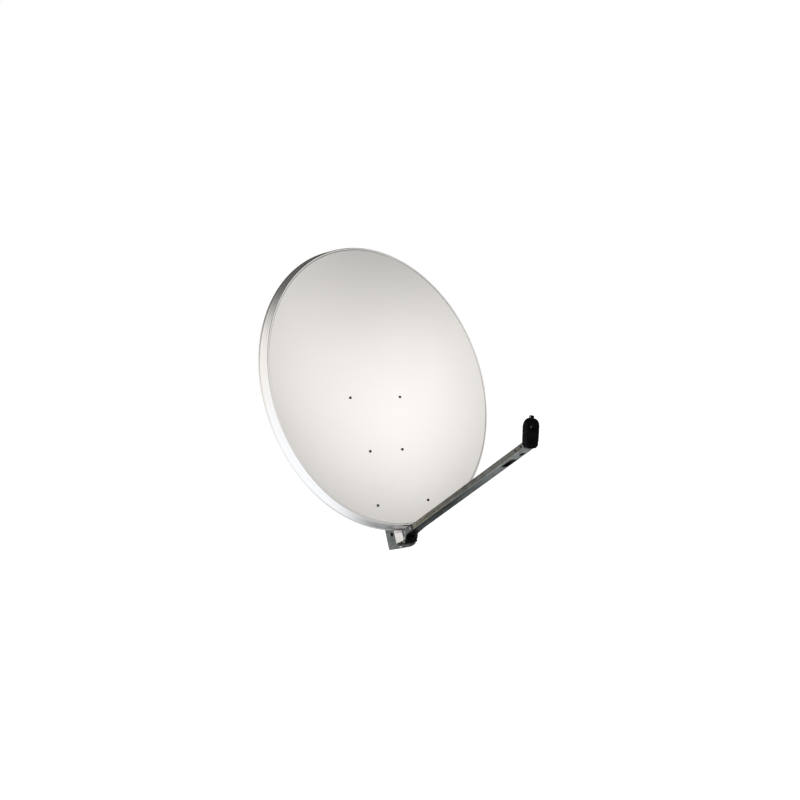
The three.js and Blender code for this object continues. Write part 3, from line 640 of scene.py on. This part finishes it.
# ---------- plugs, washers and sealing lips ----------
GAP = 0.3                            # air between pieces that touch
HALF_SPINE = 28.5
TRAY_SIDE = HALF_SPINE + GAP + 2.5
PLATE_SIDE = HALF_SPINE + GAP + 3.0
ARM_SIDE = 25.0
ARM_UNDER = -10.0
CHEEK_HOLE = (15, 45)                # places on the spine's side, along the arm, and under the arm
SIDE_HOLES = (-646.5, -620)
ROUND_HOLE = (5, -612)
CHEEK_PLUG = {"radius": 5.3, "flange": 7.2}
SIDE_PLUG = {"radius": 2.3, "flange": 3.4}
GROMMET = {"radius": 7.2, "flange": 8.8}
PLUG_DEPTH = -1.2                    # heights over the face, from the barrel's end to the crown
PLUG_LIFT = 0.05
PLUG_DISH = 0.15
PLUG_EDGE = 0.25
PLUG_CROWN = 0.45
PLUG_BEVEL = 0.3
DISH_TOP, DISH_FLOOR = 0.7, 0.6      # radii of the dished middle, as shares of the barrel's


def plug(name, place, outwards, body, radius, flange):
    """A push-in blanking plug with a dished middle: its flange lies on the face that place is on."""
    profile = [
        (0, PLUG_DEPTH), (radius, PLUG_DEPTH), (radius, PLUG_LIFT), (flange, PLUG_LIFT), (flange, PLUG_EDGE),
        (flange - PLUG_BEVEL, PLUG_CROWN), (radius * DISH_TOP, PLUG_CROWN), (radius * DISH_FLOOR, PLUG_DISH),
        (0, PLUG_DISH)]
    new_piece(name, turned_shape(place, outwards, profile), body, RUBBER)


plug("cheek_plug", at(SPINE, -HALF_SPINE, *CHEEK_HOLE), LEFT, "dish", **CHEEK_PLUG)
for i, along in enumerate(SIDE_HOLES):
    plug(f"arm_plug_left_{i}", at(ARM, -ARM_SIDE, along, 0), LEFT, "feed_arm", **SIDE_PLUG)
    plug(f"arm_plug_right_{i}", at(ARM, ARM_SIDE, along, 0), RIGHT, "feed_arm", **SIDE_PLUG)
plug("arm_grommet", at(ARM, *ROUND_HOLE, ARM_UNDER), DOWN, "feed_arm", **GROMMET)

WASHER = [(4.4, 0.02), (9.6, 0.02), (9.6, 0.26), (4.4, 0.26)]
for name, outwards in (("left", LEFT), ("right", RIGHT)):
    tray_face = at(RIM, *(FOLD_PIVOT + TRAY_SIDE * Vector(outwards)))
    new_piece(f"fold_washer_{name}", turned_shape(tray_face, outwards, WASHER),
              "dish", BRIGHT_ZINC)

RING_HALF_LENGTH = 10.0
SEALING_LIP = [(11.0, 0), (11.55, 0), (11.55, 1.2), (11.0, 0.8)]
for name, sign in (("front", -1), ("rear", 1)):
    ring_end = at(RING, 0, sign * RING_HALF_LENGTH, 0)
    new_piece(f"neck_seal_{name}", turned_shape(ring_end, (0, -sign, 0), SEALING_LIP, sides=48),
              "feed_arm", RUBBER)

# ---------- threads on the bolts ----------
CREST, ROOT = 0.2, -0.06             # of a thread, against the plain shank
TAIL_PROUD = 0.15                    # the threaded end, past the plain one
TAIL_BEVEL = 0.7
CORE_INSET = 0.5
FIRST_ROOT = -0.5                    # from the plain end
COARSE = (12.0, 1.25)                # threaded length and pitch
THREADS = {"clamp_bolt": (104.0, 1.25), "reflector_bolt": (9.0, 1.0), "lnb_clamp_screw": (5.0, 0.7)}
AXIS_PASSES = 12
END_SHARE = 0.2                      # of a bolt's length, where its head or its tail is looked for
END_DEPTH = 1e-4                     # metres, for the points on the tail's end face


def long_axis(points, centre):
    """The direction in which a solid's points spread the most."""
    some = points[::3]
    first, last = max(((a, b) for a in some for b in some), key=lambda pair: (pair[0] - pair[1]).length)
    axis = (last - first).normalized()
    for _ in range(AXIS_PASSES):
        spread = Vector()
        for point in points:
            offset = point - centre
            spread += offset * offset.dot(axis)
        axis = spread.normalized()
    return axis


def thread(node, length, pitch):
    """A ridged sleeve on the tail of a bolt, found from the bolt's own vertices."""
    points = [v.co.copy() for v in nodes[node].data.vertices]
    centre = sum(points, Vector()) / len(points)
    axis = long_axis(points, centre)
    along = [(point - centre).dot(axis) for point in points]
    out = [(point - centre - axis * t).length for point, t in zip(points, along)]
    low, high = min(along), max(along)
    near = END_SHARE * (high - low)
    low_radius = max(r for r, t in zip(out, along) if t < low + near)
    high_radius = max(r for r, t in zip(out, along) if t > high - near)
    if low_radius < high_radius:     # the head is at the high end
        axis, high = -axis, -low
        along = [-t for t in along]
    shank = max(r for r, t in zip(out, along) if t > high - END_DEPTH) / MM
    tail = Matrix.Translation(centre + axis * high) @ Matrix.Scale(MM, 4)
    turns = int(length / pitch)
    profile = [(0, TAIL_PROUD), (shank - TAIL_BEVEL, TAIL_PROUD)]
    for k in range(turns):
        profile += [(shank + ROOT, FIRST_ROOT - k * pitch), (shank + CREST, FIRST_ROOT - (k + 0.5) * pitch)]
    profile += [(shank - CORE_INSET, FIRST_ROOT - turns * pitch), (0, FIRST_ROOT - turns * pitch)]
    slot = node_slot[node]
    new_piece(f"{node}_thread", turned_shape(tail, axis, profile, sides=20), node_body[node],
              FINISHES[slot], smooth_angle=25)


for node in node_body:
    if "bolt" in node or node == "lnb_clamp_screw":
        size = next((size for start, size in THREADS.items() if node.startswith(start)), COARSE)
        thread(node, *size)

# ---------- weld beads ----------
BEAD_SIDES = 10
BEAD_STEP = 0.9                      # between two rings of a bead
FEWEST_STEPS = 6
RIPPLE = 0.86                        # every second ring's radius, as a share
SWELL = (0.92, 1.06)                 # further shares, drawn at random
WANDER = 0.12                        # of a ring's centre to either side
BEAD_TIP = 0.55                      # share of the radius at both ends
STRAP_WELD = {"half": 14, "outside": 0.4, "back": 0.6, "radius": 1.9}
TRAY_WELD = {"ends": ((108, -596.6), (72, -589.1)), "outside": 0.9, "radius": 1.5}


def bead(bm, place, start, end, radius):
    """A rippled bead of weld metal between two points of a frame."""
    start, end = Vector(start), Vector(end)
    axis = (end - start).normalized()
    side = axis.orthogonal().normalized()
    other = axis.cross(side)
    steps = max(FEWEST_STEPS, int((end - start).length / BEAD_STEP))
    rings = []
    for i in range(steps + 1):
        size = radius * (RIPPLE if i % 2 else 1.0) * rng.uniform(*SWELL)
        if i in (0, steps):
            size *= BEAD_TIP
        middle = (start.lerp(end, i / steps) + side * rng.uniform(-WANDER, WANDER)
                  + other * rng.uniform(-WANDER, WANDER))
        rings.append([
            bm.verts.new(place @ (middle + size * (side * math.cos(a) + other * math.sin(a))))
            for a in (2 * math.pi * j / BEAD_SIDES for j in range(BEAD_SIDES))])
    bm.faces.new(rings[0][::-1])
    bm.faces.new(rings[-1])
    for first, second in zip(rings, rings[1:]):
        sew(bm, first, second)


def strap_welds(row):
    """The beads where a crossbar meets both sides of the spine."""
    low, high = (Vector(corner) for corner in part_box(f"{row}_crossbar"))
    height = (SPINE.inverted() @ ((low + high) / 2)).z
    back, half = STRAP_WELD["back"], STRAP_WELD["half"]

    def build(bm):
        for side in (-1, 1):
            x = side * (HALF_SPINE + STRAP_WELD["outside"])
            bead(bm, SPINE, (x, back, height - half), (x, back, height + half), STRAP_WELD["radius"])

    return build


def tray_welds(bm):
    start, end = TRAY_WELD["ends"]
    for side in (-1, 1):
        x = side * (HALF_SPINE + TRAY_WELD["outside"])
        bead(bm, RIM, (x, *start), (x, *end), TRAY_WELD["radius"])


for row in ("upper", "middle", "lower"):
    new_piece(f"weld_{row}", strap_welds(row), "dish", WELD)
new_piece("weld_tray", tray_welds, "dish", WELD)

# ---------- elevation scale: raised marks on the left plate ----------
PIVOT_ON_SPINE = (0, 88, 455)
SLOT_MIDDLE = LEAN_BACK + SPINE_LEAN - math.pi / 2
SCALE_ENDS = 20                      # degrees to either side of the slot's middle
SCALE_STEP = 4
SCALE_FROM = 55.2                    # radii about the pivot, where the marks start and end
SCALE_SHORT, SCALE_LONG = 57.0, 58.4
MARK_HALF = 0.35
MARK_PROUD = 0.12
MARK_SUNK = 0.2


def elevation_scale(bm):
    for degrees in range(-SCALE_ENDS, SCALE_ENDS + 1, SCALE_STEP):
        place = at(SPINE, *PIVOT_ON_SPINE) @ Matrix.Rotation(SLOT_MIDDLE + math.radians(degrees), 4, "X")
        outer = SCALE_LONG if degrees % (2 * SCALE_STEP) else SCALE_SHORT
        brick(bm, place, (-PLATE_SIDE - MARK_PROUD, SCALE_FROM, -MARK_HALF),
              (-PLATE_SIDE + MARK_SUNK, outer, MARK_HALF))


new_piece("elevation_scale", elevation_scale, "dish", FINISHES["dark_screws"])

# ---------- studio ----------
FLOOR_DROP = 0.55
FLOOR_HALF = 60
FLOOR_LIGHT, CEILING_LIGHT = 0.20, 0.03
FLOOR_TINT = (0.95, 0.98, 1.02, 1)
CEILING_TINT = (1.0, 0.985, 0.965, 1)


def studio_floor():
    """A pale floor that the camera sees, and that throws no light on the dish."""
    mesh = bpy.data.meshes.new("studio_floor")
    bm = bmesh.new()
    z = cad_bounds[0][2] - FLOOR_DROP
    corners = ((-1, -1), (1, -1), (1, 1), (-1, 1))
    bm.faces.new([bm.verts.new((FLOOR_HALF * x, FLOOR_HALF * y, z)) for x, y in corners])
    bm.to_mesh(mesh)
    bm.free()
    floor = bpy.data.objects.new("studio_floor", mesh)
    mesh.materials.append(floor_paint())
    scene.collection.objects.link(floor)
    floor.visible_diffuse = False
    floor.visible_glossy = False


class Studio(Tree):
    """The light round the object, as soft boxes of brightness by direction."""

    def __init__(self):
        world = bpy.data.worlds.new("studio")
        world.use_nodes = True
        super().__init__(world.node_tree)
        self.direction = self.add("ShaderNodeTexCoord").outputs["Generated"]
        self.total = self.step(UP, -0.3, 0.3, FLOOR_LIGHT, CEILING_LIGHT)
        scene.world = world

    def step(self, towards, edge, full, low=0.0, high=1.0):
        """Rises from low to high as the cosine to a direction goes from edge to full."""
        node = self.add("ShaderNodeMapRange", interpolation_type="SMOOTHSTEP", **{
            "From Min": edge, "From Max": full, "To Min": low, "To Max": high})
        self.feed(node.inputs["Value"], self.facing(self.direction, Vector(towards).normalized()))
        return node.outputs["Result"]

    def combine(self, operation, first, second):
        node = self.add("ShaderNodeMath", operation=operation)
        self.feed(node.inputs[0], first)
        self.feed(node.inputs[1], second)
        return node.outputs[0]

    def box(self, value, *steps):
        """Adds a soft box: each step is (towards, edge, full)."""
        glow = value
        for step in steps:
            glow = self.combine("MULTIPLY", self.step(*step), glow)
        self.total = self.combine("ADD", self.total, glow)

    def finish(self):
        """Lights the object by the boxes, and shows the camera a white background."""
        a, b, result = MIX_COLOURS
        tint = self.add("ShaderNodeMix", data_type="RGBA")
        self.feed(tint.inputs[MIX_SHARE], self.step(UP, -0.15, 0.1))
        self.feed(tint.inputs[a], FLOOR_TINT)
        self.feed(tint.inputs[b], CEILING_TINT)
        light = self.tree.nodes["Background"]
        self.feed(light.inputs["Color"], tint.outputs[result])
        self.feed(light.inputs["Strength"], self.total)
        seen = self.add("ShaderNodeBackground", Color=(*WHITE, 1))
        choice = self.add("ShaderNodeMixShader")
        self.feed(choice.inputs["Fac"], self.add("ShaderNodeLightPath").outputs["Is Camera Ray"])
        self.feed(choice.inputs[1], light.outputs["Background"])
        self.feed(choice.inputs[2], seen.outputs["Background"])
        self.feed(self.tree.nodes["World Output"].inputs["Surface"], choice.outputs["Shader"])


studio_floor()
studio = Studio()
# In front and to the right, a tall one that fades out towards the horizon and high up
studio.box(1.26, ((0.62, -0.78, 0), 0.32, 0.96), (UP, 0.02, 0.32), (DOWN, -0.85, -0.68))
# High in front, faint
studio.box(0.17, ((0.30, -0.68, 0.67), 0.88, 0.99))
# On the left, wide and low, along the skirt
studio.box(1.08, ((-0.92, 0.15, -0.36), -0.04, 0.50))
# Low behind on the right, small
studio.box(0.55, ((0.66, 0.36, -0.66), 0.94, 0.98))
# Low in front, under the rim
studio.box(0.75, ((0.25, -0.80, -0.55), 0.92, 0.99))
# Behind on the right, level
studio.box(0.95, ((0.80, 0.60, -0.05), 0.80, 0.95))
studio.finish()
